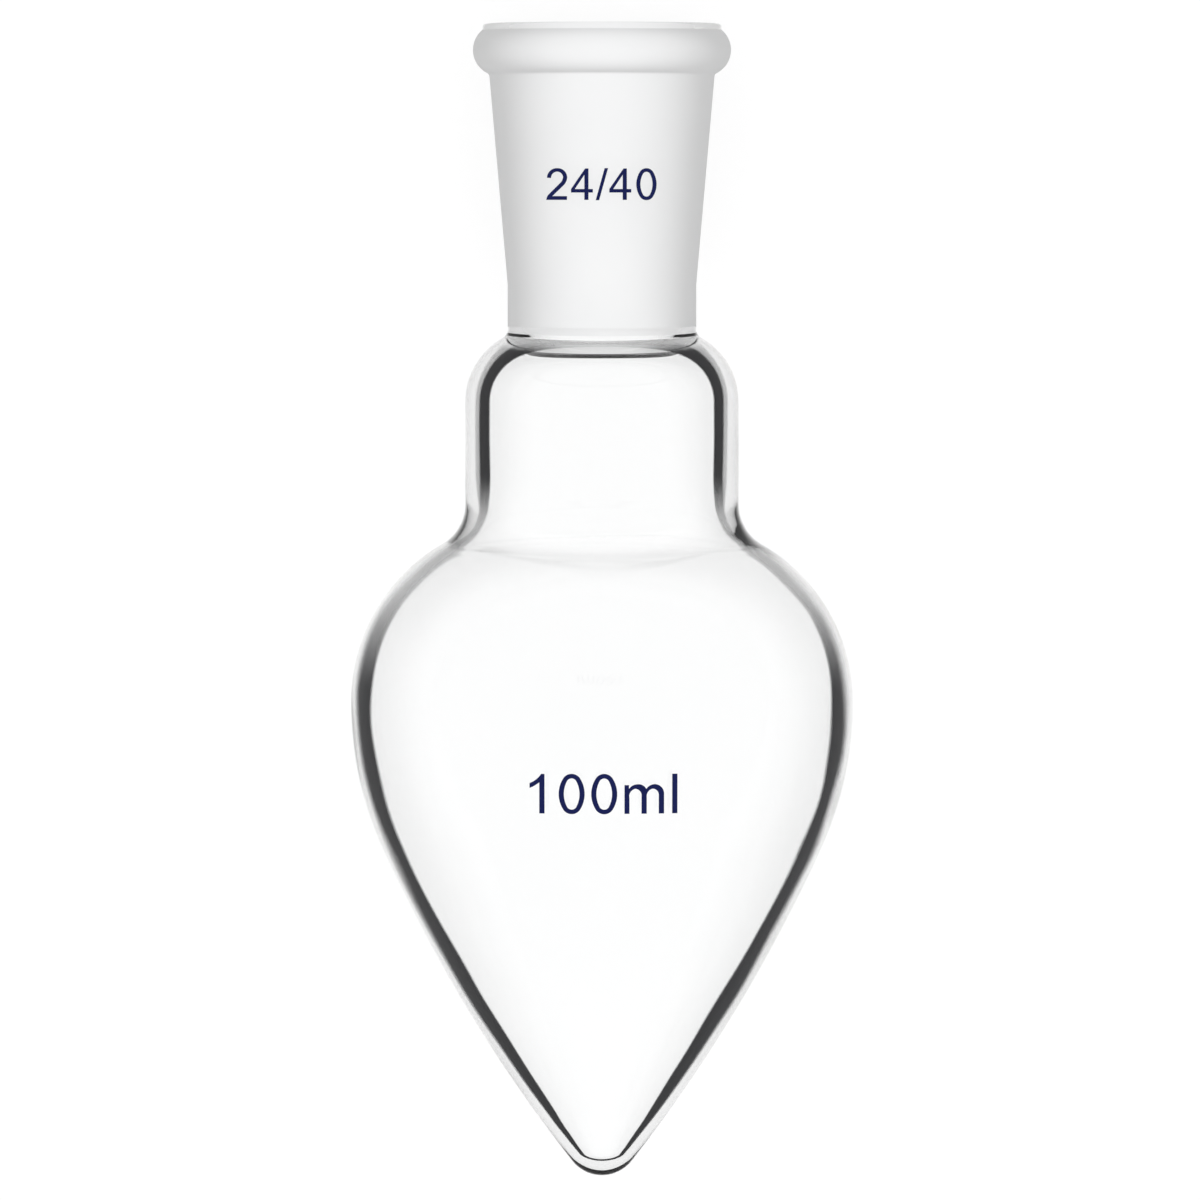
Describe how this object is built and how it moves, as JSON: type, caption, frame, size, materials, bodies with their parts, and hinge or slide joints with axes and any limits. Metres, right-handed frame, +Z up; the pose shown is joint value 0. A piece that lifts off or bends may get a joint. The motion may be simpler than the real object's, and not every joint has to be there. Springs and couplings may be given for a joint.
{
  "type": "pear-shaped flask",
  "caption": "Pear-shaped flask of clear blown glass with a pointed round bottom, a short straight neck and a tapered ground socket with a beaded mouth.",
  "frame": {"origin": "on the table, under the middle of the flask's length and width as it lies on its belly and the bead of its mouth", "axes": "+Y level, from the pointed bottom towards the mouth; +Z up from the table, towards the side with the print; +X to the right with +Y ahead"},
  "size_m": [0.064, 0.1471, 0.0641],
  "materials": {
    "clear_glass": "clear and fire polished, ground pale and even inside the socket"
  },
  "bodies": {
    "root": {"pear": "clear_glass", "socket": "clear_glass"}
  },
  "joints": []
}
